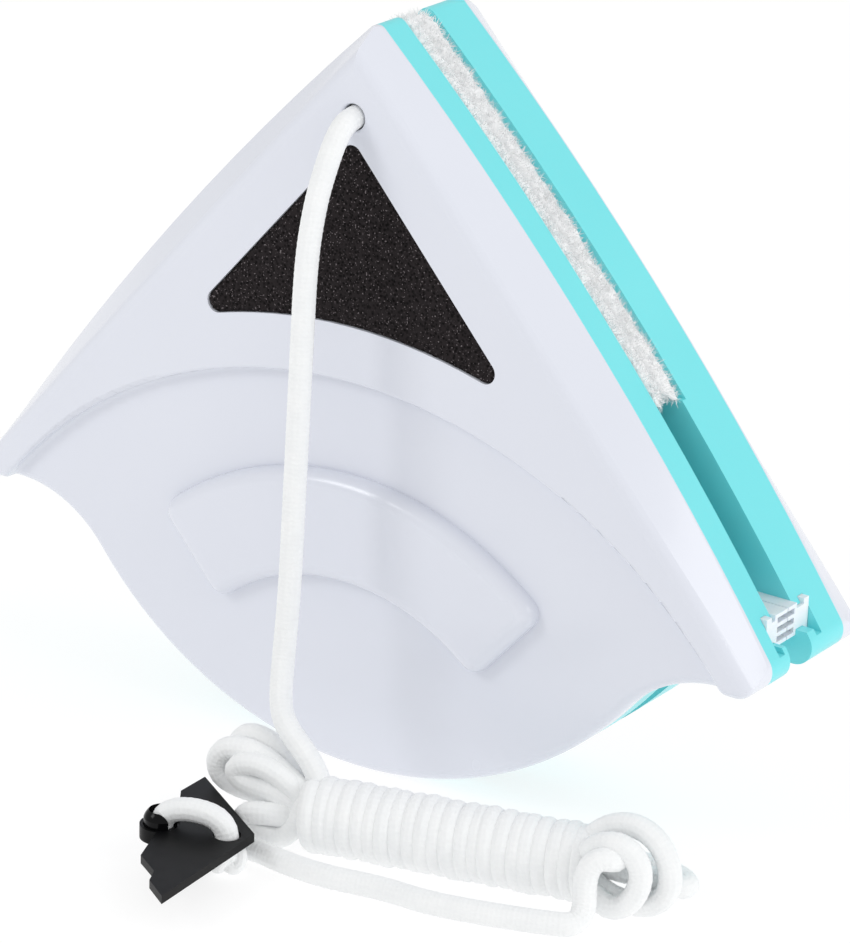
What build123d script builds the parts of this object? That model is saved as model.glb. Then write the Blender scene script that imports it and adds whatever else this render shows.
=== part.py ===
from build123d import *
import os
from math import acos, asin, atan2, cos, degrees, hypot, pi, radians, sin, sqrt, tan
from collections import namedtuple

# Magnetic glass cleaner: two triangular halves that grip a window pane between their fleece pads.
# Each half is a white shell screwed to a coloured base that holds the magnets. The front half
# carries a braided cord, wound into a hank on the floor, with a cord lock near its end.
#
# Frame: the cleaner stands on its rounded edge. X runs across, Z is up, and the glass stands in
# the XZ plane between the halves. The front half is on the -Y side. Millimetres.

os.makedirs("parts", exist_ok=True)

# Outline of a half, seen square on: two long bowed sides, two small corner lobes, a round bottom.
APEX_HEIGHT = 176.5  # where the two sides would meet in a point
SIDE_RADIUS = 748.66  # bow of the long sides
LOBE_X = 103.3  # centre of a corner lobe
LOBE_Z = 51.4
LOBE_RADIUS = 4.5
COVE_RADIUS = 32.0  # hollow between a lobe and the round bottom
BOTTOM_RADIUS = 95.7
APEX_ROUNDING = 2.5

# Depths, counted outwards from the middle of the glass.
SEAT = 5.3  # where a pad sits on its base
SHELL_DEPTH = 9.0
PANE_CLEARANCE = 0.15  # from a pad's face to the middle of the glass when the halves are closed

# Shell
SHELL_INSET = 2.8  # measured in the face's plane; the leaning walls are thinner than this
ROOF = 2.4
CREASE_DROP = 5.8  # the face's tip below the point of the outline
CREASE_INSET = 2.8  # the face's edge inside the outline, at the lobes
CREASE_OVERLAP = 0.3  # the leaning sides start this far outside the outline, at the seam
CREASE_ROUNDING = 3.5
EDGE_ROUNDING = 2.4
STEP_ROUNDING = 1.2
FAN_RADIUS = 129.43  # the lower part of the face is a sunk fan under this arc
FAN_CENTRE_Z = -34.4
FAN_DROP = 3.2
LIMIT_FOOT = 20.0  # the leaning sides are drawn down to this far below the outline
GRIP_INNER, GRIP_OUTER = 53.7, 79.6  # raised arc that the hand holds
GRIP_CENTRE_Z = -7.2
GRIP_HALF_ANGLE = 41.8
GRIP_RISE = 4.4
GRIP_CORNER = 4.0
GRIP_ROUNDING = 3.6
GRIP_WALL = 3.0

# Foam triangle let into the face
FOAM_TIP_DROP = 19.0  # below the face's tip, with sides that run beside the face's own
FOAM_HEIGHT = 50.9  # from its tip down to its two corners
FOAM_BOW = 7.6  # how far its lower edge rises between them
FOAM_CORNER = 2.7
FOAM_RECESS = 1.4
FOAM_THICKNESS = 1.2
FOAM_GAP = 0.1

# Base
BASE_WALL = 2.2
BASE_FLOOR = 2.6
PAD_EDGE_Z = 100.6  # lower edge of the pads

# Squeegee strip and its open-ended slot
STRIP_Z = 57.6
SLOT_MOUTH = 5.2
SLOT_MOUTH_DEPTH = 1.4
SLOT_ROOT = 7.8
SLOT_ROOT_DEPTH = 2.2
STRIP_GAP = 0.1
STRIP_HEAD = 7.6
STRIP_HEAD_THICKNESS = 1.0
STRIP_SETBACK = 1.0  # the strip's ends stand this far inside the outline
FIN_COUNT = 4
FIN_THICKNESS = 0.9
RAIL_WALL = 2.1  # material above and below the slot's root

# Magnets, in rows that get shorter upwards
MAGNET_WIDTH, MAGNET_HEIGHT = 28.0, 20.0
MAGNET_SPACING = 2.0
MAGNET_COUNTS = (4, 3, 2)  # from the lowest row up
TRAY_CLEARANCE = 2.4  # from the squeegee's rail up to the tray
TRAY_THICKNESS = 2.5
TRAY_RIM = 1.0
TRAY_GAP = 0.2
YOKE_THICKNESS = 1.5

# Screws
SCREW_PLACES = ((0.0, 28.0), (-82.0, 70.0), (82.0, 70.0), (-42.0, 117.0), (42.0, 117.0))
SCREW_RADIUS = 1.45
SCREW_BITE = 3.0  # how far it runs into the shell's boss, past the seam
HEAD_RADIUS, HEAD_HEIGHT = 2.7, 1.5
HEAD_SINK = 0.2
PILOT_RADIUS = 1.5
CLEAR_RADIUS = 1.7
BOSS_RADIUS = 3.6
SCREW_GAP = 0.15

# Pad and its hook tape
TAPE_THICKNESS = 0.8
TAPE_INSET = 2.5
PAD_INSET = 0.2
PAD_ROUNDING = 1.2

# Cord
CORD_RADIUS = 2.6
CORD_HOLE_RADIUS = CORD_RADIUS + 0.4
CORD_HOLE_DROP = 14.1  # below the face's tip
KNOT_RADIUS, KNOT_HEIGHT = CORD_RADIUS + 2.2, 7.0
HOLE_ROUNDING = 0.6

Half = namedtuple("Half", "name out base_depth land magnet_depth")
# out is the half's direction along Y. land is how far its lower face stands proud of the pad seat.
FRONT = Half("front", -1, 7.5, 0.0, 4.0)
BACK = Half("back", 1, 12.1, 1.5, 7.5)


def seam(half):
    """Where the shell meets the base, out from the middle of the glass."""
    return SEAT + half.base_depth


def face(half):
    return seam(half) + SHELL_DEPTH


FACE_TIP_Z = APEX_HEIGHT - CREASE_DROP
CORD_HOLE_Z = FACE_TIP_Z - CORD_HOLE_DROP
RAIL_HEIGHT = SLOT_ROOT + 2 * RAIL_WALL
ROW_PITCH = MAGNET_HEIGHT + MAGNET_SPACING
FIRST_ROW_Z = STRIP_Z + RAIL_HEIGHT / 2 + TRAY_CLEARANCE + TRAY_RIM + ROW_PITCH / 2
MAGNET_ROWS = [(FIRST_ROW_Z + row * ROW_PITCH, count) for row, count in enumerate(MAGNET_COUNTS)]

# The middle of the glass, placed so that the whole cleaner is centred on Y = 0.
GLASS_Y = (face(FRONT) - face(BACK)) / 2


def plane_at(half, distance):
    """Plane across a half, this far out from the middle of the glass, with local Y up."""
    return Plane(
        origin=(0, GLASS_Y + half.out * distance, 0),
        x_dir=(-half.out, 0, 0),
        z_dir=(0, half.out, 0),
    )


def section_at(half, distance, height):
    """Plane square to X: local X points out from the glass and local Y is up."""
    return Plane(
        origin=(0, GLASS_Y + half.out * distance, height),
        x_dir=(0, half.out, 0),
        z_dir=(half.out, 0, 0),
    )


def side_centre():
    """Centre of the right side's arc: it passes through the point and touches the lobe."""
    reach = hypot(LOBE_X, APEX_HEIGHT - LOBE_Z)
    near, far = SIDE_RADIUS - LOBE_RADIUS, SIDE_RADIUS
    along = (far**2 - near**2 + reach**2) / (2 * reach)
    across = sqrt(far**2 - along**2)
    ux, uz = LOBE_X / reach, (LOBE_Z - APEX_HEIGHT) / reach
    return along * ux + across * uz, APEX_HEIGHT + along * uz - across * ux


SIDE_X, SIDE_Z = side_centre()


def side_at(height):
    """Half-width of the outline at a height on the long sides."""
    return SIDE_X + sqrt(SIDE_RADIUS**2 - (height - SIDE_Z) ** 2)


def face_lean():
    """Half-width that the face gains for each millimetre down from its tip."""
    return (side_at(LOBE_Z) - CREASE_INSET) / (FACE_TIP_Z - LOBE_Z)


def outline(plane, inset=0.0):
    """The outline of a half, drawn in by inset all round."""
    side = SIDE_RADIUS - inset
    lobe = LOBE_RADIUS - inset
    cove = COVE_RADIUS + inset
    bottom = BOTTOM_RADIUS - inset
    cove_z = LOBE_Z - LOBE_RADIUS - COVE_RADIUS
    cove_x = sqrt((cove + bottom) ** 2 - (BOTTOM_RADIUS - cove_z) ** 2)
    top_angle = degrees(acos(-SIDE_X / side))
    lobe_angle = degrees(atan2(LOBE_Z - SIDE_Z, LOBE_X - SIDE_X))
    cove_angle = degrees(atan2(BOTTOM_RADIUS - cove_z, -cove_x))
    bottom_angle = degrees(atan2(cove_z - BOTTOM_RADIUS, cove_x))
    with BuildSketch(plane) as shape:
        with BuildLine():
            CenterArc((SIDE_X, SIDE_Z), side, lobe_angle, top_angle - lobe_angle)
            CenterArc((LOBE_X, LOBE_Z), lobe, -90, lobe_angle + 90)
            Line((LOBE_X, LOBE_Z - lobe), (cove_x, LOBE_Z - lobe))
            CenterArc((cove_x, cove_z), cove, 90, cove_angle - 90)
            CenterArc((0, BOTTOM_RADIUS), bottom, -90, bottom_angle + 90)
            mirror(about=Plane.YZ)
        make_face()
        fillet(shape.vertices().sort_by(Axis.Y)[-1], max(APEX_ROUNDING - inset, 0.5))
    return shape.sketch


def side_limit(plane, inset, at_face):
    """The outline's two sides carried down past the lobes, at the seam or at the face."""
    foot = -LIMIT_FOOT
    with BuildSketch(plane) as shape:
        with BuildLine():
            if at_face:
                lean = face_lean()
                tip = FACE_TIP_Z - inset * sqrt(1 + lean**2) / lean
                corner = (lean * (tip - foot), foot)
                Line((0, tip), corner)
            else:
                side = SIDE_RADIUS - inset
                top_angle = degrees(acos(-SIDE_X / side))
                foot_angle = degrees(asin((foot - SIDE_Z) / side))
                right = CenterArc((SIDE_X, SIDE_Z), side, foot_angle, top_angle - foot_angle)
                corner = (right @ 0).X, foot
            Line(corner, (0, foot))
            mirror(about=Plane.YZ)
        make_face()
    return shape.sketch


def cap(half, inset, depth, rounding):
    """The outline raised from the seam, with its outer edge rounded and its two sides leaning in."""
    with BuildPart() as sides:
        add(side_limit(plane_at(half, seam(half)), inset - CREASE_OVERLAP, False))
        add(side_limit(plane_at(half, face(half)), inset, True))
        loft()
        if rounding:
            leaning = [e for e in outer_face(sides, half).edges() if abs(e.tangent_at(0.5).X) < 0.99]
            fillet(leaning, CREASE_ROUNDING)
    with BuildPart() as raised:
        extrude(outline(plane_at(half, seam(half)), inset), amount=depth)
        if rounding:
            fillet(outer_face(raised, half).edges(), EDGE_ROUNDING)
        add(sides.part, mode=Mode.INTERSECT)
    return raised.part


def outer_face(solid, half):
    """The face of a half's solid that is furthest from the glass."""
    return solid.faces().sort_by(Axis.Y)[0 if half.out < 0 else -1]


def shell_blank(half, inset, roof, rounding):
    """A half's cap with the fan sunk into its face; inset and roof shrink it for the hollow inside."""
    fan_radius = FAN_RADIUS + roof
    with BuildPart() as blank:
        add(cap(half, inset, SHELL_DEPTH - roof, rounding))
        with BuildSketch(plane_at(half, seam(half))):
            with Locations((0, FAN_CENTRE_Z)):
                Circle(fan_radius)
        extrude(amount=SHELL_DEPTH, mode=Mode.SUBTRACT)
        add(cap(half, inset, SHELL_DEPTH - FAN_DROP - roof, rounding))
        if rounding:
            arcs = blank.edges().filter_by(GeomType.CIRCLE)
            fillet([edge for edge in arcs if abs(edge.radius - fan_radius) < 0.01], STEP_ROUNDING)
    return blank.part


def foam_triangle(plane, inset=0.0):
    """Triangle with a curved lower edge and rounded corners."""
    tip = FACE_TIP_Z - FOAM_TIP_DROP
    corner_x, corner_z = face_lean() * FOAM_HEIGHT, tip - FOAM_HEIGHT
    with BuildSketch(plane) as shape:
        with BuildLine():
            Line((0, tip), (corner_x, corner_z))
            Line((0, tip), (-corner_x, corner_z))
            ThreePointArc((-corner_x, corner_z), (0, corner_z + FOAM_BOW), (corner_x, corner_z))
        make_face()
        fillet(shape.vertices(), FOAM_CORNER)
        if inset:
            offset(amount=-inset, mode=Mode.REPLACE)
    return shape.sketch


def grip_arc(plane, inset=0.0):
    """Ring sector that the raised grip, and the hollow under it, follow."""
    inner, outer = GRIP_INNER + inset, GRIP_OUTER - inset
    middle = (inner + outer) / 2
    half_angle = GRIP_HALF_ANGLE - degrees(inset / middle)
    start = 90 - half_angle
    with BuildSketch(plane) as shape:
        with BuildLine():
            low = CenterArc((0, GRIP_CENTRE_Z), inner, start, 2 * half_angle)
            high = CenterArc((0, GRIP_CENTRE_Z), outer, start, 2 * half_angle)
            Line(low @ 0, high @ 0)
            Line(low @ 1, high @ 1)
        make_face()
        fillet(shape.vertices(), max(GRIP_CORNER - inset, 1.0))
    return shape.sketch


def round_posts(half, start, radius, length, mode=Mode.ADD):
    """Adds or cuts a round post at each screw, from this far out."""
    with BuildSketch(plane_at(half, start)) as posts:
        with Locations(*SCREW_PLACES):
            Circle(radius)
    return extrude(posts.sketch, amount=length, mode=mode)


def make_shell(half):
    with BuildPart() as cavity:
        add(shell_blank(half, SHELL_INSET, ROOF, False))
        round_posts(half, seam(half), BOSS_RADIUS, SHELL_DEPTH, Mode.SUBTRACT)
    grip_base = face(half) - FAN_DROP
    post_start = SEAT + BASE_FLOOR
    with BuildPart() as shell:
        add(shell_blank(half, 0.0, 0.0, True))
        extrude(grip_arc(plane_at(half, grip_base)), amount=GRIP_RISE)
        fillet(outer_face(shell, half).edges(), GRIP_ROUNDING)
        add(cavity.part, mode=Mode.SUBTRACT)
        hollow = SHELL_DEPTH - FAN_DROP + GRIP_RISE - GRIP_WALL
        extrude(grip_arc(plane_at(half, seam(half)), GRIP_WALL), amount=hollow, mode=Mode.SUBTRACT)
        recess = foam_triangle(plane_at(half, face(half) - FOAM_RECESS))
        extrude(recess, amount=2 * FOAM_RECESS, mode=Mode.SUBTRACT)
        round_posts(half, post_start, BOSS_RADIUS, half.base_depth - BASE_FLOOR + SCREW_BITE)
        pilot = half.base_depth - BASE_FLOOR + SCREW_BITE
        round_posts(half, post_start, PILOT_RADIUS, pilot, Mode.SUBTRACT)
        if half is FRONT:
            with BuildSketch(plane_at(half, seam(half))):
                with Locations((0, CORD_HOLE_Z)):
                    Circle(CORD_HOLE_RADIUS)
            extrude(amount=2 * SHELL_DEPTH, mode=Mode.SUBTRACT)
            rim = shell.edges().filter_by(GeomType.CIRCLE).filter_by(
                lambda edge: abs(edge.radius - CORD_HOLE_RADIUS) < 0.01
            )
            fillet(rim.sort_by(Axis.Y)[0], HOLE_ROUNDING)
    return shell.part


def make_base(half):
    with BuildPart() as base:
        extrude(outline(plane_at(half, SEAT)), amount=half.base_depth)
        if half.land:
            with BuildPart(mode=Mode.ADD):
                extrude(outline(plane_at(half, SEAT - half.land)), amount=half.land)
                with BuildSketch(plane_at(half, SEAT - half.land)):
                    with Locations((0, PAD_EDGE_Z)):
                        Rectangle(2 * LOBE_X, APEX_HEIGHT, align=(Align.CENTER, Align.MIN))
                extrude(amount=half.land, mode=Mode.SUBTRACT)
        with BuildSketch(plane_at(half, SEAT + BASE_FLOOR)) as pocket:
            add(outline(Plane.XY, BASE_WALL))
            with Locations((0, STRIP_Z)):
                Rectangle(3 * LOBE_X, RAIL_HEIGHT, mode=Mode.SUBTRACT)
        extrude(amount=half.base_depth, mode=Mode.SUBTRACT)
        with BuildSketch(section_at(half, SEAT, STRIP_Z)):
            mouth_length = half.land + SLOT_MOUTH_DEPTH
            with Locations((-half.land, 0)):
                Rectangle(mouth_length, SLOT_MOUTH, align=(Align.MIN, Align.CENTER))
            with Locations((SLOT_MOUTH_DEPTH, 0)):
                Rectangle(SLOT_ROOT_DEPTH, SLOT_ROOT, align=(Align.MIN, Align.CENTER))
        extrude(amount=2 * LOBE_X, both=True, mode=Mode.SUBTRACT)
        surface = SEAT - half.land
        round_posts(half, surface, CLEAR_RADIUS, half.land + BASE_FLOOR, Mode.SUBTRACT)
        sink = half.land + HEAD_SINK + HEAD_HEIGHT
        round_posts(half, surface, HEAD_RADIUS + SCREW_GAP, sink, Mode.SUBTRACT)
    return base.part


def make_screws(half):
    head = SEAT + HEAD_SINK
    with BuildPart() as screws:
        with BuildSketch(plane_at(half, head)):
            with Locations(*SCREW_PLACES):
                Circle(HEAD_RADIUS)
                Rectangle(3.0, 0.7, mode=Mode.SUBTRACT)
                Rectangle(0.7, 3.0, mode=Mode.SUBTRACT)
        extrude(amount=HEAD_HEIGHT / 2)
        with BuildSketch(plane_at(half, head + HEAD_HEIGHT / 2)):
            with Locations(*SCREW_PLACES):
                Circle(HEAD_RADIUS)
        extrude(amount=HEAD_HEIGHT / 2)
        with BuildSketch(plane_at(half, head + HEAD_HEIGHT)):
            with Locations(*SCREW_PLACES):
                Circle(SCREW_RADIUS)
        extrude(amount=half.base_depth + SCREW_BITE - HEAD_SINK - HEAD_HEIGHT - SCREW_GAP)
    return screws.part


def magnet_rows(plane, margin, apart=False):
    """Rectangles round the magnets: each magnet by itself, or one for each row."""
    pitch = MAGNET_WIDTH + MAGNET_SPACING
    with BuildSketch(plane) as shape:
        for height, count in MAGNET_ROWS:
            with Locations((0, height)):
                if apart:
                    with GridLocations(pitch, ROW_PITCH, count, 1):
                        Rectangle(MAGNET_WIDTH + 2 * margin, MAGNET_HEIGHT + 2 * margin)
                else:
                    width = count * pitch - MAGNET_SPACING
                    Rectangle(width + 2 * margin, ROW_PITCH + 2 * margin)
    return shape.sketch


def make_tray(half):
    """Plastic grid that keeps the magnets apart."""
    level = SEAT + BASE_FLOOR
    with BuildPart() as tray:
        extrude(magnet_rows(plane_at(half, level), TRAY_RIM), amount=TRAY_THICKNESS)
        cells = magnet_rows(plane_at(half, level), TRAY_GAP, apart=True)
        extrude(cells, amount=TRAY_THICKNESS, mode=Mode.SUBTRACT)
    return tray.part


def make_magnets(half):
    with BuildPart() as magnets:
        places = magnet_rows(plane_at(half, SEAT + BASE_FLOOR), 0.0, apart=True)
        extrude(places, amount=half.magnet_depth)
    return magnets.part


def make_yoke(half):
    """Steel plate that closes the magnets' field on the side away from the glass."""
    level = SEAT + BASE_FLOOR + half.magnet_depth
    with BuildPart() as yoke:
        extrude(magnet_rows(plane_at(half, level), 0.0), amount=YOKE_THICKNESS)
    return yoke.part


def make_foam(half):
    with BuildPart() as foam:
        triangle = foam_triangle(plane_at(half, face(half) - FOAM_RECESS), FOAM_GAP)
        extrude(triangle, amount=FOAM_THICKNESS)
    return foam.part


def pad_shape(plane, inset):
    """The part of the outline above the pads' lower edge."""
    with BuildSketch(plane) as shape:
        add(outline(Plane.XY, inset))
        with Locations((0, PAD_EDGE_Z + inset)):
            Rectangle(3 * LOBE_X, APEX_HEIGHT, align=(Align.CENTER, Align.MAX), mode=Mode.SUBTRACT)
    return shape.sketch


def make_tape(half):
    with BuildPart() as tape:
        extrude(pad_shape(plane_at(half, SEAT), TAPE_INSET), amount=-TAPE_THICKNESS)
    return tape.part


def make_pad(half):
    with BuildPart() as pad:
        level = SEAT - TAPE_THICKNESS
        extrude(pad_shape(plane_at(half, PANE_CLEARANCE), PAD_INSET), amount=level - PANE_CLEARANCE)
        near = pad.faces().sort_by(Axis.Y)[-1 if half.out < 0 else 0]
        fillet(near.edges(), PAD_ROUNDING)
    return pad.part


def make_strip(half):
    """Silicone squeegee: a foot in the slot, a head on the face and fins towards the glass."""
    length = side_at(STRIP_Z) - STRIP_SETBACK
    surface = SEAT - half.land
    fin_length = surface - STRIP_HEAD_THICKNESS - PANE_CLEARANCE
    fin_pitch = (STRIP_HEAD - FIN_THICKNESS) / (FIN_COUNT - 1)
    with BuildPart() as strip:
        with BuildSketch(section_at(half, surface, STRIP_Z)):
            neck = half.land + SLOT_MOUTH_DEPTH + STRIP_GAP
            Rectangle(neck, SLOT_MOUTH - 2 * STRIP_GAP, align=(Align.MIN, Align.CENTER))
            with Locations((neck, 0)):
                foot = SLOT_ROOT_DEPTH - 2 * STRIP_GAP
                Rectangle(foot, SLOT_ROOT - 2 * STRIP_GAP, align=(Align.MIN, Align.CENTER))
            Rectangle(STRIP_HEAD_THICKNESS, STRIP_HEAD, align=(Align.MAX, Align.CENTER))
            with Locations((-STRIP_HEAD_THICKNESS - fin_length / 2, 0)):
                with GridLocations(1, fin_pitch, 1, FIN_COUNT):
                    Rectangle(fin_length, FIN_THICKNESS)
        extrude(amount=length, both=True)
    return strip.part


def write(part, name):
    part.label = name
    export_step(part, f"parts/{name}.step")


for half in (FRONT, BACK):
    write(make_shell(half), f"{half.name}_shell")
    write(make_base(half), f"{half.name}_base")
    write(make_foam(half), f"{half.name}_foam")
    write(make_tape(half), f"{half.name}_hook_tape")
    write(make_pad(half), f"{half.name}_fleece_pad")
    write(make_strip(half), f"{half.name}_squeegee")
    write(make_tray(half), f"{half.name}_magnet_tray")
    write(make_magnets(half), f"{half.name}_magnets")
    write(make_yoke(half), f"{half.name}_yoke")
    write(make_screws(half), f"{half.name}_screws")


# Cord. It is knotted inside the front shell, leaves through the hole, hangs in front of the face,
# is wound into a hank on the floor, and its tail runs back to the cord lock.
HOLE_Y = GLASS_Y - face(FRONT) + ROOF  # inner side of the front shell at the cord's hole

HANG_ROUTE = (
    (0, HOLE_Y, CORD_HOLE_Z),
    (0, -25.9, CORD_HOLE_Z),
    (0, -30.0, 153.4),
    (0, -33.6, 147.6),
    (0, -37.2, 140.2),
    (0, -40.2, 128.0),
    (0, -41.2, 108.0),
    (-0.2, -42.3, 80.0),
    (0.3, -44.4, 52.0),
    (0.0, -46.4, 30.0),
    (-1.5, -49.5, 17.0),
)

# Hank: its axis lies on the floor, from left to right and slightly away.
HANK_START = (14.0, -61.0)
HANK_ANGLE = 15.2
HANK_LENGTH = 72.0
HANK_RADIUS = 8.5
LEFT_LOOPS_AT, LEFT_LOOPS_ANGLE = (-0.5, -51.5), -31.8
LEFT_LOOPS_LENGTH, LEFT_LOOPS_RADIUS = 27.0, 10.5
RIGHT_LOOPS_AT, RIGHT_LOOPS_RADIUS, RIGHT_LOOPS_HEIGHT = 81.0, 11.0, 15.5
LOOPS_ROUNDING = 5.0

TAIL_ROUTE = (
    (84.0, -45.0, 5.0),
    (88.6, -48.6, 3.4),
    (89.4, -54.2, 2.6),
    (85.2, -60.4, 2.6),
    (74.6, -66.6, 2.6),
    (60.0, -70.0, 2.6),
    (46.0, -70.4, 2.6),
    (33.0, -73.8, 2.6),
    (21.5, -73.9, 2.6),
    (12.6, -72.6, 2.6),
    (6.0, -75.0, 2.6),
    (1.8, -78.9, 2.6),
    (-1.1, -82.6, 2.6),
    (-2.4, -84.4, 3.7),
    (-3.2, -85.4, 5.9),
    (-3.2, -85.4, 9.4),
    (-2.0, -85.1, 11.7),
    (0.2, -84.4, 13.1),
    (4.3, -83.2, 13.7),
    (8.4, -82.0, 13.1),
    (10.5, -81.4, 11.7),
    (11.7, -81.0, 9.4),
    (11.7, -81.0, 7.0),
)

# Cord lock: a flat plate that rests on the knotted end of the cord. The cord comes up through a
# round button in the plate's edge, lies across the plate and goes down through a hole. The button
# is a domed sleeve, open on one side, that a spring under it presses against the cord's bend.
LOCK_OUTLINE = (
    (-10.3, -60.8),
    (16.0, -76.9),
    (18.7, -112.7),
    (12.0, -108.5),
    (10.1, -104.5),
    (3.1, -100.4),
    (-8.0, -72.7),
    (-10.0, -69.9),
)
LOCK_TOP = 9.0
LOCK_THICKNESS = 2.0
LOCK_HOLES = TAIL_ROUTE[14][:2], TAIL_ROUTE[-1][:2]
LOCK_HOLE_RADIUS = CORD_RADIUS + 0.5
BUTTON_BORE = CORD_RADIUS + 0.15
BUTTON_RADIUS = BUTTON_BORE + 1.15
BUTTON_DOME = BUTTON_RADIUS + 0.2  # radius of its ball-shaped top
BUTTON_DOME_RISE = 0.4  # centre of the ball above the plate
BUTTON_DEPTH = 1.0  # how far it reaches down into its well
BUTTON_SLOT_DEPTH = 0.4  # foot of its open side below the plate's upper face
BUTTON_GAP = 0.15
WELL_DEPTH = 2.4
WELL_FLOOR = 0.8
WELL_WALL = 0.75
SPRING_WIRE = 0.2
SPRING_TURNS = 2
END_KNOT_RADIUS = CORD_RADIUS + 1.8


def corner_radii(route):
    """The largest arc that each corner of a route has room for."""
    points = [Vector(*point) for point in route]
    radii = []
    for before, at, after in zip(points, points[1:], points[2:]):
        run_in, run_out = at - before, after - at
        turn = radians(run_in.get_angle(run_out))
        radii.append(0.45 * min(run_in.length, run_out.length) / tan(turn / 2))
    return radii


def make_cord(route, name):
    radii = corner_radii(route)
    print(name, "radii", [round(radius, 1) for radius in radii])
    with BuildPart() as cord:
        with BuildLine():
            line = FilletPolyline(*route, radius=radii)
        with BuildSketch(Plane(origin=line @ 0, z_dir=line % 0)):
            Circle(CORD_RADIUS)
        sweep()
    ratio = cord.part.volume / (pi * CORD_RADIUS**2 * line.length)
    print(name, "length", round(line.length, 1), "volume against section times length", round(ratio, 4))
    return cord.part


def make_knot(plane, radius, height):
    """A round knot."""
    with BuildPart() as knot:
        with BuildSketch(plane):
            Circle(radius)
        extrude(amount=height)
        fillet(knot.edges().filter_by(GeomType.CIRCLE), 0.4 * height)
    return knot.part


write(make_cord(HANG_ROUTE, "cord"), "cord")
write(make_cord(TAIL_ROUTE, "cord_tail"), "cord_tail")
knot_plane = Plane(origin=(0, HOLE_Y, CORD_HOLE_Z), x_dir=(1, 0, 0), z_dir=(0, 1, 0))
write(make_knot(knot_plane, KNOT_RADIUS, KNOT_HEIGHT), "anchor_knot")

hank_direction = (cos(radians(HANK_ANGLE)), sin(radians(HANK_ANGLE)), 0)
hank_plane = Plane(origin=(*HANK_START, 0), x_dir=hank_direction, z_dir=(0, 0, 1))
with BuildPart() as left_loops:
    lie_down = Location((0, 0, 0), (0, 90, 0))
    with Locations(Location((*LEFT_LOOPS_AT, LEFT_LOOPS_RADIUS), (0, 0, LEFT_LOOPS_ANGLE)) * lie_down):
        Cylinder(LEFT_LOOPS_RADIUS, LEFT_LOOPS_LENGTH)
    fillet(left_loops.edges().filter_by(GeomType.CIRCLE), LOOPS_ROUNDING)
with BuildPart() as right_loops:
    Cylinder(RIGHT_LOOPS_RADIUS, RIGHT_LOOPS_HEIGHT)
    fillet(right_loops.edges().filter_by(GeomType.CIRCLE), LOOPS_ROUNDING)
with BuildPart() as hank:
    with Locations(hank_plane.location * Location((HANK_LENGTH / 2, 0, HANK_RADIUS), (0, 90, 0))):
        Cylinder(HANK_RADIUS, HANK_LENGTH)
    with Locations(hank_plane.location * Location((RIGHT_LOOPS_AT, 0, RIGHT_LOOPS_HEIGHT / 2))):
        add(right_loops.part)
    add(left_loops.part)
write(hank.part, "cord_hank")


def on_lock(point, height=0.0):
    """Level plane at a point of the floor plan, this far above the lock's upper face."""
    return Plane(origin=(*point, LOCK_TOP + height))


well_radius = BUTTON_RADIUS + BUTTON_GAP
with BuildPart() as lock_body:
    with BuildSketch(on_lock((0, 0))):
        with BuildLine():
            Polyline(*LOCK_OUTLINE, close=True)
        make_face()
    extrude(amount=-LOCK_THICKNESS)
    with BuildSketch(on_lock(LOCK_HOLES[0])):
        Circle(well_radius + WELL_WALL)
    extrude(amount=-(WELL_DEPTH + WELL_FLOOR))
    with BuildSketch(on_lock(LOCK_HOLES[0])):
        Circle(well_radius)
    extrude(amount=-WELL_DEPTH, mode=Mode.SUBTRACT)
    with BuildSketch(on_lock((0, 0))):
        with Locations(*LOCK_HOLES):
            Circle(LOCK_HOLE_RADIUS)
    extrude(amount=-LOCK_TOP, mode=Mode.SUBTRACT)
write(lock_body.part, "lock_body")

(up_x, up_y), (down_x, down_y) = LOCK_HOLES
across_lock = (down_x - up_x, down_y - up_y, 0)
button_foot = Plane(origin=(up_x, up_y, LOCK_TOP - BUTTON_DEPTH), x_dir=across_lock)
with BuildPart() as button:
    with Locations(on_lock(LOCK_HOLES[0], BUTTON_DOME_RISE).location):
        Sphere(BUTTON_DOME)
    with BuildSketch(button_foot):
        Circle(BUTTON_RADIUS)
        Circle(BUTTON_BORE, mode=Mode.SUBTRACT)
    extrude(amount=2 * BUTTON_DOME, mode=Mode.INTERSECT)
    with BuildSketch(button_foot.offset(BUTTON_DEPTH - BUTTON_SLOT_DEPTH)):
        Rectangle(2 * BUTTON_RADIUS, 2 * BUTTON_BORE, align=(Align.MIN, Align.CENTER))
    extrude(amount=2 * BUTTON_DOME, mode=Mode.SUBTRACT)
write(button.part, "lock_button")

spring_room = WELL_DEPTH - BUTTON_DEPTH - 2 * SPRING_WIRE
spring_radius = (LOCK_HOLE_RADIUS + well_radius) / 2
with BuildPart() as spring:
    with BuildLine(on_lock(LOCK_HOLES[0], SPRING_WIRE - WELL_DEPTH)):
        coil = Helix(spring_room / SPRING_TURNS, spring_room, spring_radius)
    with BuildSketch(Plane(origin=coil @ 0, z_dir=coil % 0)):
        Circle(SPRING_WIRE)
    sweep()
write(spring.part, "lock_spring")

under_lock = Plane(origin=(*LOCK_HOLES[1], LOCK_TOP - LOCK_THICKNESS), x_dir=(1, 0, 0), z_dir=(0, 0, -1))
write(make_knot(under_lock, END_KNOT_RADIUS, LOCK_TOP - LOCK_THICKNESS), "end_knot")
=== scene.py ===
import math
import random

import bmesh
import bpy
from mathutils import Matrix, Vector, noise


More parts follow.
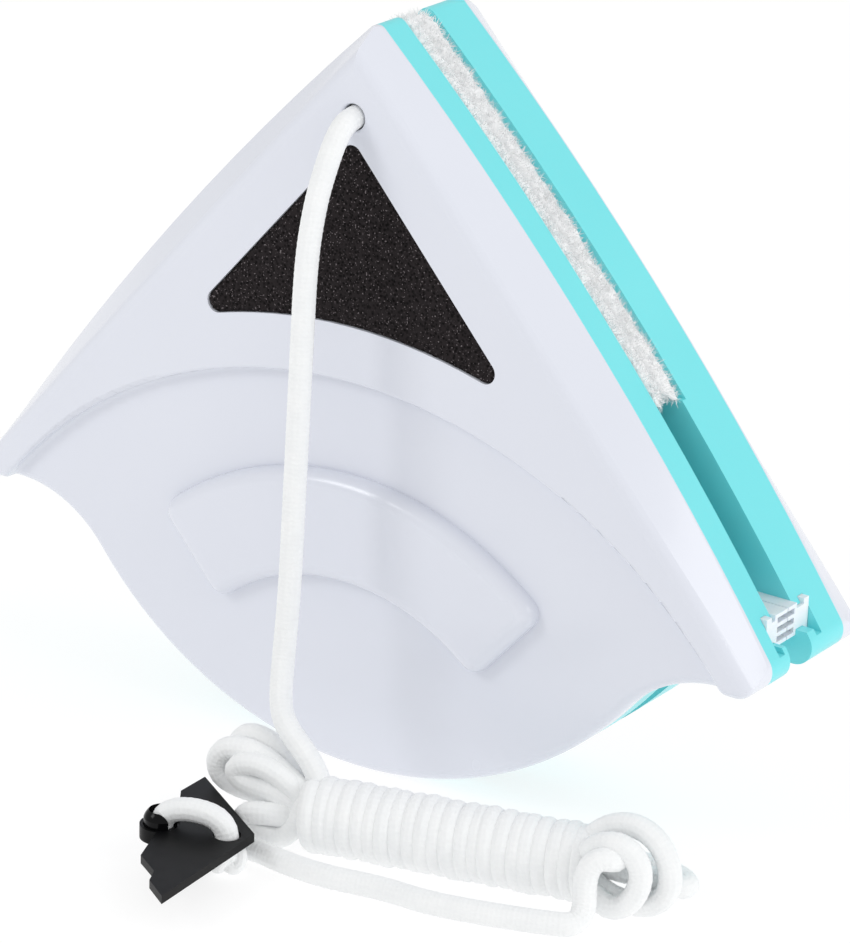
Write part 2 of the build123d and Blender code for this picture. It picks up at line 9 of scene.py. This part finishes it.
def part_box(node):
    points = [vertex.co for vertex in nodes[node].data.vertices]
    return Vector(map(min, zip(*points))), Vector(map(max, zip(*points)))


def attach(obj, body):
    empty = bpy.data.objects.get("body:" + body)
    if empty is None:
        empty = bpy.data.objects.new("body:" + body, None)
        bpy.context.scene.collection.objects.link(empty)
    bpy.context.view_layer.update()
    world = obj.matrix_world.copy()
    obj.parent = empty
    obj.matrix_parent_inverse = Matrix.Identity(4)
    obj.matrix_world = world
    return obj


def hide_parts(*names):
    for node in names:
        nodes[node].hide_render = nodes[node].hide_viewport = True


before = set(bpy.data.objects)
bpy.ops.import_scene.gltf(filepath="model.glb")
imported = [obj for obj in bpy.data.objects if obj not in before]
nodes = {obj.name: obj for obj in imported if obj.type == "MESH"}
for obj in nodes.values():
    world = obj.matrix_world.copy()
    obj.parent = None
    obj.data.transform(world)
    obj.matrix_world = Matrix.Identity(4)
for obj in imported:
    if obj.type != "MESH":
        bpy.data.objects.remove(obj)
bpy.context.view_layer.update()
MM = 0.001

# Camera: a long lens from the front left of the cleaner's right corner, looking slightly down.
# It stands about a metre away, so the two halves are seen past each other's edge.
camera_data = bpy.data.cameras.new("camera")
camera_data.sensor_width = 36.0
camera_data.lens = 164.9
camera = bpy.data.objects.new("camera", camera_data)
right = Vector((0.8151, 0.5786, 0.0276))
up = Vector((-0.2317, 0.2820, 0.9310))
look = Vector((-0.5309, 0.7653, -0.3639))
turn = Matrix((right, up, -look)).transposed().to_4x4()
camera.matrix_world = Matrix.Translation(Vector((528.9, -755.0, 427.0)) * MM) @ turn
bpy.context.scene.collection.objects.link(camera)
bpy.context.scene.camera = camera


def linear(code):
    """A colour's sRGB hex code as linear red, green, blue and alpha."""
    parts = [int(code[i : i + 2], 16) / 255 for i in (1, 3, 5)]
    return [p / 12.92 if p <= 0.04045 else ((p + 0.055) / 1.055) ** 2.4 for p in parts] + [1.0]


def new_material(name):
    """A material with its shader and its node tree."""
    material = bpy.data.materials.new(name)
    material.use_nodes = True
    return material, material.node_tree, material.node_tree.nodes["Principled BSDF"]


def add_node(tree, kind, settings=None, **inputs):
    """Adds a shader node: settings are its own properties, inputs are values or sockets to link."""
    made = tree.nodes.new("ShaderNode" + kind)
    for key, value in (settings or {}).items():
        setattr(made, key, value)
    for key, value in inputs.items():
        socket = made.inputs[int(key[1:]) if key[1:].isdigit() else key.replace("_", " ")]
        if isinstance(value, bpy.types.NodeSocket):
            tree.links.new(value, socket)
        else:
            socket.default_value = value
    return made.outputs


# Studio: a white floor and a white room, with one broad soft light on the left that gives the cord
# a soft shadow on the shell. The floor gives off most of its own light, as an overlit one does.
scene = bpy.context.scene
scene.view_settings.view_transform = "Standard"
world = bpy.data.worlds.new("room")
world.use_nodes = True
backdrop = world.node_tree.nodes["Background"]
rays = add_node(world.node_tree, "LightPath")
brightness = add_node(world.node_tree, "MapRange", Value=rays["Is Camera Ray"], To_Min=0.7, To_Max=1.0)
world.node_tree.links.new(brightness["Result"], backdrop.inputs["Strength"])
backdrop.inputs["Color"].default_value = linear("#FFFFFF")
scene.world = world

floor_material, tree, shader = new_material("white_floor")
place = add_node(tree, "TexCoord")["Object"]
shader.inputs["Roughness"].default_value = 0.95
shader.inputs["Specular IOR Level"].default_value = 0.1
shader.inputs["Emission Color"].default_value = linear("#FFFFFF")
shader.inputs["Emission Strength"].default_value = 0.8
mottle = add_node(tree, "TexNoise", Vector=place, Scale=12.0)["Fac"]
paper = add_node(tree, "Mix", {"data_type": "RGBA"}, i0=mottle, i6=linear("#848484"), i7=linear("#8A8A8A"))
tree.links.new(paper[2], shader.inputs["Base Color"])
floor_mesh = bpy.data.meshes.new("floor")
sheet = bmesh.new()
bmesh.ops.create_grid(sheet, x_segments=1, y_segments=1, size=6.0)
sheet.to_mesh(floor_mesh)
floor = bpy.data.objects.new("floor", floor_mesh)
floor_mesh.materials.append(floor_material)
scene.collection.objects.link(floor)

for name, place, size, watts in (
    ("left_softbox", (-0.75, -1.0, 0.95), 0.5, 4.0),
    ("right_softbox", (1.5, 0.1, 0.9), 1.2, 9.5),
):
    lamp = bpy.data.lights.new(name, "AREA")
    lamp.size, lamp.energy = size, watts
    lamp_object = bpy.data.objects.new(name, lamp)
    lamp_object.location = place
    lamp_object.rotation_euler = (Vector((0, 0, 0.08)) - Vector(place)).to_track_quat("-Z", "Y").to_euler()
    scene.collection.objects.link(lamp_object)


def finish_node(name, material):
    """Gives a CAD node its material."""
    mesh = nodes[name].data
    mesh.materials.clear()
    mesh.materials.append(material)


# Shells: white ABS, injection moulded in a polished tool. The gloss shows long soft highlights, and
# the skin has a very slight orange peel that breaks their edges.
shell_abs, tree, shader = new_material("white_moulded_abs")
place = add_node(tree, "TexCoord")["Object"]
shader.inputs["IOR"].default_value = 1.53
shader.inputs["Coat Weight"].default_value = 0.25
shader.inputs["Coat Roughness"].default_value = 0.12
cloud = add_node(tree, "TexNoise", Vector=place, Scale=16.0)["Fac"]
tint = add_node(tree, "Mix", {"data_type": "RGBA"}, i0=cloud, i6=linear("#DDE0EA"), i7=linear("#E4E7F0"))
tree.links.new(tint[2], shader.inputs["Base Color"])
wear = add_node(tree, "TexNoise", Vector=place, Scale=40.0)["Fac"]
gloss = add_node(tree, "MapRange", Value=wear, To_Min=0.2, To_Max=0.3)["Result"]
tree.links.new(gloss, shader.inputs["Roughness"])
peel = add_node(tree, "TexNoise", Vector=place, Scale=330.0, Detail=1.0)["Fac"]
bump = add_node(tree, "Bump", Height=peel, Distance=0.01 * MM, Strength=0.35)["Normal"]
tree.links.new(bump, shader.inputs["Normal"])
for half in ("front", "back"):
    finish_node(f"{half}_shell", shell_abs)

# Bases: turquoise ABS from the same kind of tool, a little less polished. The inner faces are
# plain moulded surfaces.
base_abs, tree, shader = new_material("turquoise_moulded_abs")
place = add_node(tree, "TexCoord")["Object"]
shader.inputs["IOR"].default_value = 1.53
shader.inputs["Subsurface Weight"].default_value = 0.08
shader.inputs["Subsurface Radius"].default_value = (0.001, 0.003, 0.003)
cloud = add_node(tree, "TexNoise", Vector=place, Scale=22.0)["Fac"]
tint = add_node(tree, "Mix", {"data_type": "RGBA"}, i0=cloud, i6=linear("#72E0E6"), i7=linear("#7EE7EC"))
tree.links.new(tint[2], shader.inputs["Base Color"])
wear = add_node(tree, "TexNoise", Vector=place, Scale=80.0)["Fac"]
gloss = add_node(tree, "MapRange", Value=wear, To_Min=0.26, To_Max=0.36)["Result"]
tree.links.new(gloss, shader.inputs["Roughness"])
skin = add_node(tree, "TexNoise", Vector=place, Scale=800.0)["Fac"]
bump = add_node(tree, "Bump", Height=skin, Distance=0.008 * MM, Strength=0.4)["Normal"]
tree.links.new(bump, shader.inputs["Normal"])
for half in ("front", "back"):
    finish_node(f"{half}_base", base_abs)

# Squeegees: extruded translucent silicone, with thin fins that wipe the glass. The rubber lets
# light in, so its edges look pale and milky.
silicone, tree, shader = new_material("milky_silicone")
place = add_node(tree, "TexCoord")["Object"]
shader.inputs["IOR"].default_value = 1.41
shader.inputs["Subsurface Weight"].default_value = 0.6
shader.inputs["Subsurface Radius"].default_value = (0.004, 0.004, 0.0045)
cloud = add_node(tree, "TexNoise", Vector=place, Scale=120.0)["Fac"]
tint = add_node(tree, "Mix", {"data_type": "RGBA"}, i0=cloud, i6=linear("#E4ECF4"), i7=linear("#F0F5FA"))
tree.links.new(tint[2], shader.inputs["Base Color"])
gloss = add_node(tree, "MapRange", Value=cloud, To_Min=0.3, To_Max=0.42)["Result"]
tree.links.new(gloss, shader.inputs["Roughness"])
drag = add_node(tree, "TexNoise", Vector=place, Scale=1200.0)["Fac"]
bump = add_node(tree, "Bump", Height=drag, Distance=0.01 * MM, Strength=0.3)["Normal"]
tree.links.new(bump, shader.inputs["Normal"])
for half in ("front", "back"):
    finish_node(f"{half}_squeegee", silicone)

# Metal and plastic inside: nickel-plated magnets in a plastic tray, a zinc-plated steel plate behind
# them, plated screws, a spring of bright wire and woven hook tape. Little of it shows.
hidden_finishes = (
    ("nickel_plate", "#BAB8B1", "#C9C7C0", 1.0, 0.22, 0.01, ("front_magnets", "back_magnets")),
    ("zinc_plated_steel", "#A9ADB2", "#B9BDC2", 1.0, 0.38, 0.01, ("front_yoke", "back_yoke")),
    ("plated_screw_steel", "#AFB1B4", "#BFC1C4", 1.0, 0.3, 0.01, ("front_screws", "back_screws")),
    ("bright_spring_wire", "#B6B8BA", "#C6C8CA", 1.0, 0.2, 0.01, ("lock_spring",)),
    ("tray_polypropylene", "#BFC1C4", "#CFD1D4", 0.0, 0.5, 0.01, ("front_magnet_tray", "back_magnet_tray")),
    ("nylon_hook_tape", "#D2D4D8", "#E2E4E8", 0.0, 0.7, 0.1, ("front_hook_tape", "back_hook_tape")),
)
for name, dark, light, metallic, roughness, relief_mm, used_by in hidden_finishes:
    material, tree, shader = new_material(name)
    place = add_node(tree, "TexCoord")["Object"]
    shader.inputs["Metallic"].default_value = metallic
    cloud = add_node(tree, "TexNoise", Vector=place, Scale=160.0)["Fac"]
    tint = add_node(tree, "Mix", {"data_type": "RGBA"}, i0=cloud, i6=linear(dark), i7=linear(light))
    tree.links.new(tint[2], shader.inputs["Base Color"])
    wear = add_node(tree, "TexNoise", Vector=place, Scale=500.0)["Fac"]
    gloss = add_node(tree, "MapRange", Value=wear, To_Min=0.8 * roughness, To_Max=1.2 * roughness)["Result"]
    tree.links.new(gloss, shader.inputs["Roughness"])
    grain = add_node(tree, "TexVoronoi", Vector=place, Scale=1400.0)["Distance"]
    bump = add_node(tree, "Bump", Height=grain, Distance=relief_mm * MM)["Normal"]
    tree.links.new(bump, shader.inputs["Normal"])
    for node_name in used_by:
        finish_node(node_name, material)

# Cord lock: black acetal, moulded in a plain tool with a fine satin skin. The button is the same
# material, polished by thumbs.
for name, roughness, used_by in (("black_acetal", 0.42, "lock_body"), ("polished_black_acetal", 0.16, "lock_button")):
    material, tree, shader = new_material(name)
    place = add_node(tree, "TexCoord")["Object"]
    shader.inputs["Specular IOR Level"].default_value = 0.14
    cloud = add_node(tree, "TexNoise", Vector=place, Scale=200.0)["Fac"]
    tint = add_node(tree, "Mix", {"data_type": "RGBA"}, i0=cloud, i6=linear("#070708"), i7=linear("#0D0D0F"))
    tree.links.new(tint[2], shader.inputs["Base Color"])
    gloss = add_node(tree, "MapRange", Value=cloud, To_Min=0.85 * roughness, To_Max=1.15 * roughness)["Result"]
    tree.links.new(gloss, shader.inputs["Roughness"])
    skin = add_node(tree, "TexNoise", Vector=place, Scale=2000.0)["Fac"]
    bump = add_node(tree, "Bump", Height=skin, Distance=0.01 * MM, Strength=0.5)["Normal"]
    tree.links.new(bump, shader.inputs["Normal"])
    finish_node(used_by, material)


def merged_copy(node_name):
    """A bmesh of a CAD node with its loose triangles joined."""
    shape = bmesh.new()
    shape.from_mesh(nodes[node_name].data)
    bmesh.ops.remove_doubles(shape, verts=shape.verts, dist=0.00002)
    bmesh.ops.recalc_face_normals(shape, faces=shape.faces)
    return shape


def make_piece(name, shape, material, body, smooth=True):
    """A new object from a bmesh, riding on a body."""
    mesh = bpy.data.meshes.new(name)
    shape.to_mesh(mesh)
    shape.free()
    mesh.materials.append(material)
    piece = bpy.data.objects.new(name, mesh)
    scene.collection.objects.link(piece)
    if smooth:
        mesh.polygons.foreach_set("use_smooth", [True] * len(mesh.polygons))
    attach(piece, body)
    return piece


def apply_modifiers(piece):
    """Replaces a piece's mesh by what its modifiers make of it."""
    evaluated = piece.evaluated_get(bpy.context.evaluated_depsgraph_get())
    finished = bpy.data.meshes.new_from_object(evaluated)
    piece.modifiers.clear()
    piece.data = finished


# Foam triangles: open-cell black polyether foam, cut from a slab and glued into each shell. The
# cells are torn open at the surface; their hollows are darkened with painted shade, and pale specks of painted
# highlight stand for light caught on some of their walls.
CELL_MM = 0.9  # coarser than the real foam, so that the cells show
foam_material, tree, shader = new_material("black_open_cell_foam")
place = add_node(tree, "TexCoord")["Object"]
cells = add_node(tree, "TexVoronoi", Vector=place, Scale=1 / (CELL_MM * MM))["Distance"]
# Painted shade: the cell hollows are made darker than the cell walls.
pit_shade = add_node(tree, "MapRange", Value=cells, From_Min=0.1, From_Max=0.6)["Result"]
dark = add_node(tree, "Mix", {"data_type": "RGBA"}, i0=pit_shade, i6=linear("#080707"), i7=linear("#2A2627"))[2]
# Painted highlight: pale specks where light would catch some of the cell walls.
glint_noise = add_node(tree, "TexNoise", Vector=place, Scale=2400.0, Detail=0.0)["Fac"]
lit = add_node(tree, "MapRange", Value=glint_noise, From_Min=0.7, From_Max=0.78)["Result"]
tint = add_node(tree, "Mix", {"data_type": "RGBA"}, i0=lit, i6=dark, i7=linear("#777072"))
tree.links.new(tint[2], shader.inputs["Base Color"])
shader.inputs["Roughness"].default_value = 0.95
shader.inputs["Specular IOR Level"].default_value = 0.1
bump = add_node(tree, "Bump", Height=cells, Distance=0.35 * MM)["Normal"]
tree.links.new(bump, shader.inputs["Normal"])

for half in ("front", "back"):
    shape = merged_copy(f"{half}_foam")
    foam = make_piece(f"{half}_foam_pad", shape, foam_material, f"{half}_half")
    remesh = foam.modifiers.new("even", "REMESH")
    remesh.mode, remesh.voxel_size = "VOXEL", 0.00055
    apply_modifiers(foam)
    out = -1 if half == "front" else 1
    for vertex in foam.data.vertices:
        if vertex.normal.y * out > 0.3:
            near = noise.voronoi(vertex.co / (CELL_MM * MM))[0]
            vertex.co.y -= out * 0.00035 * max(0.0, 1.0 - 2.2 * (near[1] - near[0]))
    foam.data.polygons.foreach_set("use_smooth", [True] * len(foam.data.polygons))
    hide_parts(f"{half}_foam")

# Fleece pads: thick white polyester pile on a knitted backing, pressed on the hook tape. The pile
# bulges a little past the base and stands out at its edges as soft fibres.
PILE_MM = 2.2
FIBRES = 11000
fleece_material, tree, shader = new_material("white_polyester_pile")
place = add_node(tree, "TexCoord")["Object"]
shader.inputs["Roughness"].default_value = 0.95
shader.inputs["Sheen Weight"].default_value = 0.6
shader.inputs["Sheen Roughness"].default_value = 0.4
shader.inputs["Subsurface Weight"].default_value = 0.5
shader.inputs["Subsurface Radius"].default_value = (0.003, 0.003, 0.003)
cloud = add_node(tree, "TexNoise", Vector=place, Scale=400.0, Detail=4.0)["Fac"]
tint = add_node(tree, "Mix", {"data_type": "RGBA"}, i0=cloud, i6=linear("#F6F8FA"), i7=linear("#FFFFFF"))
tree.links.new(tint[2], shader.inputs["Base Color"])
fuzz = add_node(tree, "TexNoise", Vector=place, Scale=2000.0, Detail=3.0)["Fac"]
bump = add_node(tree, "Bump", Height=fuzz, Distance=0.1 * MM)["Normal"]
tree.links.new(bump, shader.inputs["Normal"])


def swell(pad, cap_mm):
    """Puffs a pad up with a short cloth simulation, and holds each point near where it was."""
    before = [vertex.co.copy() for vertex in pad.data.vertices]
    cloth = pad.modifiers.new("cloth", "CLOTH")
    cloth.settings.use_pressure = True
    cloth.settings.uniform_pressure_force = 4.0
    cloth.settings.effector_weights.gravity = 0.0
    for step in range(1, 13):
        scene.frame_set(step)
    apply_modifiers(pad)
    scene.frame_set(1)
    for vertex, start in zip(pad.data.vertices, before):
        moved = vertex.co - start
        if moved.length > cap_mm * MM:
            vertex.co = start + moved.normalized() * cap_mm * MM


def add_fibres(pad, seed):
    """Pile fibres round the pad's rim: thin tapering blades that curl at random."""
    draw = random.Random(seed)
    shape = bmesh.new()
    shape.from_mesh(pad.data)
    shape.normal_update()
    rim = [f for f in shape.faces if abs(f.normal.y) < 0.75]
    areas = [f.calc_area() for f in rim]
    chosen = draw.choices(rim, weights=areas, k=FIBRES)
    for face in chosen:
        corners = [v.co for v in face.verts]
        share = [draw.random() for _ in corners]
        root = sum((c * s for c, s in zip(corners, share)), Vector()) / sum(share)
        lean = Vector((draw.gauss(0, 0.5), draw.gauss(0, 0.45), draw.gauss(0, 0.5)))
        way = (face.normal + lean).normalized()
        across = way.cross(Vector((draw.gauss(0, 1), draw.gauss(0, 1), draw.gauss(0, 1)))).normalized()
        length = draw.uniform(0.7, PILE_MM) * MM
        bend = Vector((draw.gauss(0, 0.35), draw.gauss(0, 0.35), draw.gauss(0, 0.35)))
        half_width = draw.uniform(0.05, 0.09) * MM
        points = [root, root + way * length * 0.5, root + (way + bend * 0.5).normalized() * length]
        left = [shape.verts.new(p + across * half_width * w) for p, w in zip(points, (1.0, 0.8))]
        other = [shape.verts.new(p - across * half_width * w) for p, w in zip(points, (1.0, 0.8))]
        tip = shape.verts.new(points[2])
        shape.faces.new((left[0], other[0], other[1], left[1]))
        shape.faces.new((left[1], other[1], tip))
    shape.to_mesh(pad.data)
    shape.free()


for number, half in enumerate(("front", "back")):
    pad = make_piece(f"{half}_fleece", merged_copy(f"{half}_fleece_pad"), fleece_material, f"{half}_half")
    remesh = pad.modifiers.new("even", "REMESH")
    remesh.mode, remesh.voxel_size = "VOXEL", 0.0016
    apply_modifiers(pad)
    swell(pad, 0.7)
    finer = pad.modifiers.new("finer", "SUBSURF")
    finer.levels = finer.render_levels = 1
    apply_modifiers(pad)
    low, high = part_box(f"{half}_fleece_pad")
    for vertex, normal in [(v, v.normal.copy()) for v in pad.data.vertices]:
        tuft = noise.fractal(vertex.co / (2.6 * MM) + Vector((number * 9, 0, 0)), 1.0, 2.0, 3)
        vertex.co += normal * 0.00045 * tuft
        vertex.co.y = min(max(vertex.co.y, low.y), high.y)
    add_fibres(pad, 31 + number)
    for vertex in pad.data.vertices:
        vertex.co.y = min(max(vertex.co.y, low.y), high.y)
    pad.data.polygons.foreach_set("use_smooth", [True] * len(pad.data.polygons))
    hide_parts(f"{half}_fleece_pad")

# Safety cord: a 5.2 mm braid of white polyester yarn round a soft core. It is knotted inside the
# front shell, hangs from its hole, is folded and wound into a hank, and ends in the cord lock.
CORD_RADIUS = 2.6
HANG = (
    (0, -21.7, 156.6),
    (0, -25.9, 156.6),
    (0, -30.0, 153.4),
    (0, -33.6, 147.6),
    (0, -37.2, 140.2),
    (0, -40.2, 128.0),
    (0, -41.2, 108.0),
    (-0.2, -42.3, 80.0),
    (0.3, -44.4, 52.0),
    (0.1, -45.9, 37.0),
)
TAIL = (
    (60.0, -70.0, 2.7),
    (46.0, -70.4, 2.7),
    (33.0, -73.8, 2.7),
    (21.5, -73.9, 2.7),
    (12.6, -72.6, 2.7),
    (6.0, -75.0, 2.7),
    (1.8, -78.9, 2.7),
    (-1.1, -82.6, 2.7),
    (-2.4, -84.4, 3.7),
    (-3.2, -85.4, 5.9),
    (-3.2, -85.4, 9.4),
    (-2.0, -85.1, 11.7),
    (0.2, -84.4, 13.1),
    (4.3, -83.2, 13.7),
    (8.4, -82.0, 13.1),
    (10.5, -81.4, 11.7),
    (11.7, -81.0, 9.4),
    (11.7, -81.0, 7.0),
)
# The hank's own frame: s along it from its left end, t across it away from the front, and height.
HANK_START = Vector((14.0, -61.0, 0.0))
HANK_ANGLE = math.radians(15.2)
HANK_AXIS_Z = 8.5
LAY_IN = ((-8.0, 13, 30.5), (-6.2, 9, 27.0), (-3.2, 6, 24.4), (0.6, 4.4, 21.6), (4, 3.4, 18.0), (7, 1.5, 13))
LEFT_BIGHTS = (
    (
        (-3, 3, 15.5),
        (-9, 4, 18.4),
        (-14, 4, 19.2),
        (-17.8, 4, 18.2),
        (-19.6, 4, 14.8),
        (-18.4, 4, 11.4),
        (-14.5, 4, 9.6),
        (-9, 4, 8.9),
        (-3, 2, 8.0),
    ),
    (
        (-1, 0.5, 14.5),
        (-6, 0.6, 17.2),
        (-11, 0.8, 17.4),
        (-14.2, 0.9, 15.2),
        (-12.2, 0.9, 12.4),
        (-6, 0.6, 11.9),
        (0, 0, 10.5),
    ),
    (
        (-3, 7, 14.5),
        (-6, 8.4, 18.2),
        (-11, 9, 20.4),
        (-15, 9, 20.0),
        (-16.8, 9, 16.4),
        (-14.5, 9, 11.5),
        (-9, 8, 7.5),
        (-3, 5, 5.5),
    ),
    (
        (1, -2, 7.4),
        (-5, -4, 8.2),
        (-9.6, -4, 7.4),
        (-9.6, -4, 4.0),
        (-5, -4, 2.9),
        (1, -3.5, 2.9),
    ),
)
RIGHT_BIGHTS = (
    ((71, 0.5, 16.5), (75.5, 0, 19.6), (81, -1, 20.3), (86, -2, 17.6), (89, -3.5, 12.5), (88.9, -4, 7), (85.0, -3.6, 3.2), (80, -3.5, 2.8), (74, -3, 4)),
    ((71, -4.5, 14.5), (75, -7, 18), (79.5, -7.3, 18.3), (83.2, -7.3, 14.5), (83.6, -7.5, 9.5), (81, -8, 4.6), (77, -8.2, 3), (72, -6, 5)),
    ((74, 4, 9), (82, 5, 8.6), (89, 4, 7.6), (92.3, 0.8, 7.2), (89, -0.4, 7.2), (82, 0.6, 8), (74, 1, 8)),
)
HOOK = (
    (75.5, -1.5, 15.2),
    (78.2, -5.5, 14.4),
    (77.8, -9.2, 15.2),
    (75.0, -11.0, 16.0),
    (72.8, -11.6, 13.4),
    (72.4, -12.3, 9.0),
    (73.2, -13.8, 5.0),
    (72.6, -16.8, 2.8),
    (69.5, -19.0, 2.7),
)
CORE_RADIUS = 2.1
CORE_FROM, CORE_TO, CORE_STEPS = 9.0, 66.0, 5
WRAPS_FROM, WRAPS_TO, WRAPS = 5.5, 71.5, 22
WRAP_RADIUS, WRAP_POINTS = 6.3, 14


def in_hank(s, t, z):
    """A point of the hank's frame in the cleaner's frame."""
    along = Vector((math.cos(HANK_ANGLE), math.sin(HANK_ANGLE), 0))
    across = Vector((-math.sin(HANK_ANGLE), math.cos(HANK_ANGLE), 0))
    return HANK_START + along * s + across * t + Vector((0, 0, z))


def core_strand(number, rightwards):
    """One of the six straight strands inside the windings."""
    angle = math.radians(90 + 60 * number)
    points = []
    for step in range(CORE_STEPS):
        share = step / (CORE_STEPS - 1)
        s = CORE_FROM + (CORE_TO - CORE_FROM) * (share if rightwards else 1 - share)
        bow = 0.25 * math.sin(3 * share * math.pi + number)
        points.append((s, (CORE_RADIUS + bow) * math.cos(angle), HANK_AXIS_Z + (CORE_RADIUS + bow) * math.sin(angle)))
    return points


def windings():
    """The close turns round the core, from left to right, no two quite alike."""
    points = []
    for step in range(WRAPS * WRAP_POINTS + 1):
        turns = step / WRAP_POINTS
        uneven = 0.35 * math.sin(1.7 * turns) + 0.2 * math.sin(4.3 * turns + 1)
        radius = WRAP_RADIUS + 0.12 * math.sin(2.3 * turns) + 0.1 * math.sin(5.1 * turns)
        angle = 2 * math.pi * turns
        s = WRAPS_FROM + (WRAPS_TO - WRAPS_FROM) * turns / WRAPS + uneven
        points.append((s, -radius * math.sin(angle), HANK_AXIS_Z + radius * math.cos(angle)))
    return points


hank_points = list(LAY_IN)
for number in range(3):
    hank_points += core_strand(2 * number, True) + list(RIGHT_BIGHTS[number])
    hank_points += core_strand(2 * number + 1, False) + list(LEFT_BIGHTS[number])
hank_points += LEFT_BIGHTS[3]
hank_points += windings()
hank_points += HOOK
route = [Vector(p) for p in HANG] + [in_hank(*p) for p in hank_points] + [Vector(p) for p in TAIL]

route_curve = bpy.data.curves.new("cord_route", "CURVE")
route_curve.dimensions = "3D"
route_curve.resolution_u = 8
spline = route_curve.splines.new("NURBS")
spline.points.add(len(route) - 1)
for point, place in zip(spline.points, route):
    point.co = (*(place * MM), 1.0)
spline.order_u = 3
spline.use_endpoint_u = True
route_object = bpy.data.objects.new("cord_route", route_curve)
line_mesh = bpy.data.meshes.new_from_object(route_object)
centre_line = [vertex.co.copy() for vertex in line_mesh.vertices]
bpy.data.objects.remove(route_object)


def evenly(points, step):
    """The same line with points this far apart."""
    spaced, left_over = [points[0]], step
    for here, there in zip(points, points[1:]):
        run = (there - here).length
        while run > 0 and left_over <= run:
            here = here + (there - here) * (left_over / run)
            spaced.append(here)
            run, left_over = (there - here).length, step
        left_over -= run
    return spaced


RING_STEP, RING_POINTS = 0.66 * MM, 24
BRAID_DEPTH, BRAID_STRANDS, BRAID_PITCH = 0.08 * MM, 6, 2.2 * MM


def braided_tube(name, line, radius):
    """A tube along a line, with the shallow diamonds of a braid, and a UV map in turns and metres."""
    shape = bmesh.new()
    uv = shape.loops.layers.uv.new("UVMap")
    way = (line[1] - line[0]).normalized()
    side = way.orthogonal().normalized()
    rings = []
    for number, centre in enumerate(line):
        ahead = (line[min(number + 1, len(line) - 1)] - line[max(number - 1, 0)]).normalized()
        side = (side - ahead * side.dot(ahead)).normalized()
        other = ahead.cross(side)
        along = 2 * math.pi * number * RING_STEP / BRAID_PITCH
        ring = []
        for corner in range(RING_POINTS):
            angle = 2 * math.pi * corner / RING_POINTS
            braid = math.cos(BRAID_STRANDS * angle + along) * math.cos(BRAID_STRANDS * angle - along)
            reach = radius + BRAID_DEPTH * braid
            ring.append(shape.verts.new(centre + (side * math.cos(angle) + other * math.sin(angle)) * reach))
        rings.append(ring)
    for number, (first, second) in enumerate(zip(rings, rings[1:])):
        for corner in range(RING_POINTS):
            after = (corner + 1) % RING_POINTS
            face = shape.faces.new((first[corner], first[after], second[after], second[corner]))
            turns = ((corner, number), (corner + 1, number), (corner + 1, number + 1), (corner, number + 1))
            for loop, (u, v) in zip(face.loops, turns):
                loop[uv].uv = (u / RING_POINTS, v * RING_STEP)
    shape.faces.new(reversed(rings[0]))
    shape.faces.new(rings[-1])
    return shape


cord_material, tree, shader = new_material("white_braided_polyester")
shader.inputs["Roughness"].default_value = 0.75
shader.inputs["Sheen Weight"].default_value = 0.25
shader.inputs["Subsurface Weight"].default_value = 0.15
shader.inputs["Subsurface Radius"].default_value = (0.002, 0.002, 0.002)
uv_place = add_node(tree, "UVMap", {"uv_map": "UVMap"})["UV"]
split = add_node(tree, "SeparateXYZ", Vector=uv_place)
around = add_node(tree, "Math", {"operation": "MULTIPLY"}, i0=split["X"], i1=2 * math.pi * BRAID_STRANDS)[0]
along = add_node(tree, "Math", {"operation": "MULTIPLY"}, i0=split["Y"], i1=2 * math.pi / BRAID_PITCH)[0]
total = add_node(tree, "Math", {"operation": "ADD"}, i0=around, i1=along)[0]
apart = add_node(tree, "Math", {"operation": "SUBTRACT"}, i0=around, i1=along)[0]
one = add_node(tree, "Math", {"operation": "COSINE"}, i0=total)[0]
two = add_node(tree, "Math", {"operation": "COSINE"}, i0=apart)[0]
weave = add_node(tree, "Math", {"operation": "MULTIPLY"}, i0=one, i1=two)[0]
place = add_node(tree, "TexCoord")["Object"]
fuzz = add_node(tree, "TexNoise", Vector=place, Scale=2000.0, Detail=3.0)["Fac"]
height = add_node(tree, "Math", {"operation": "MULTIPLY_ADD"}, i0=weave, i1=0.4, i2=fuzz)[0]
cloud = add_node(tree, "TexNoise", Vector=place, Scale=200.0)["Fac"]
# Painted shade: the braid's grooves are a little darker than its ridges; the cloud noise adds random tone.
tone_and_groove_shade = add_node(tree, "Math", {"operation": "MULTIPLY_ADD"}, i0=weave, i1=0.1, i2=cloud)[0]
tint = add_node(tree, "Mix", {"data_type": "RGBA"}, i0=tone_and_groove_shade, i6=linear("#EFF1F2"), i7=linear("#F9FAFA"))
tree.links.new(tint[2], shader.inputs["Base Color"])
bump = add_node(tree, "Bump", Height=height, Distance=0.12 * MM)["Normal"]
tree.links.new(bump, shader.inputs["Normal"])

line = evenly(centre_line, RING_STEP)
cord = make_piece("safety_cord", braided_tube("safety_cord", line, CORD_RADIUS * MM), cord_material, "front_half")


def knot(name, node_name, axis):
    """An overhand knot in the cord, pulled tight: a closed trefoil that fills the CAD knot's box."""
    low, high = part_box(node_name)
    middle, size = (low + high) / 2, high - low
    strand = 1.7 * MM
    reach = max(size) / 2 - strand
    depth = size[axis] / 2 - strand
    turned = []
    for step in range(120):
        angle = 2 * math.pi * step / 119
        flat = Vector((math.sin(angle) + 2 * math.sin(2 * angle), math.cos(angle) - 2 * math.cos(2 * angle))) / 3
        offset = [0.0, 0.0, 0.0]
        first, second = [i for i in range(3) if i != axis]
        offset[first], offset[second], offset[axis] = flat.x * reach, flat.y * reach, -math.sin(3 * angle) * depth
        turned.append(middle + Vector(offset))
    piece = make_piece(name, braided_tube(name, evenly(turned, RING_STEP), strand), cord_material, "front_half")
    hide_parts(node_name)
    return piece


anchor = knot("anchor_knot_turns", "anchor_knot", 1)
end = knot("end_knot_turns", "end_knot", 2)
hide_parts("cord", "cord_hank", "cord_tail")
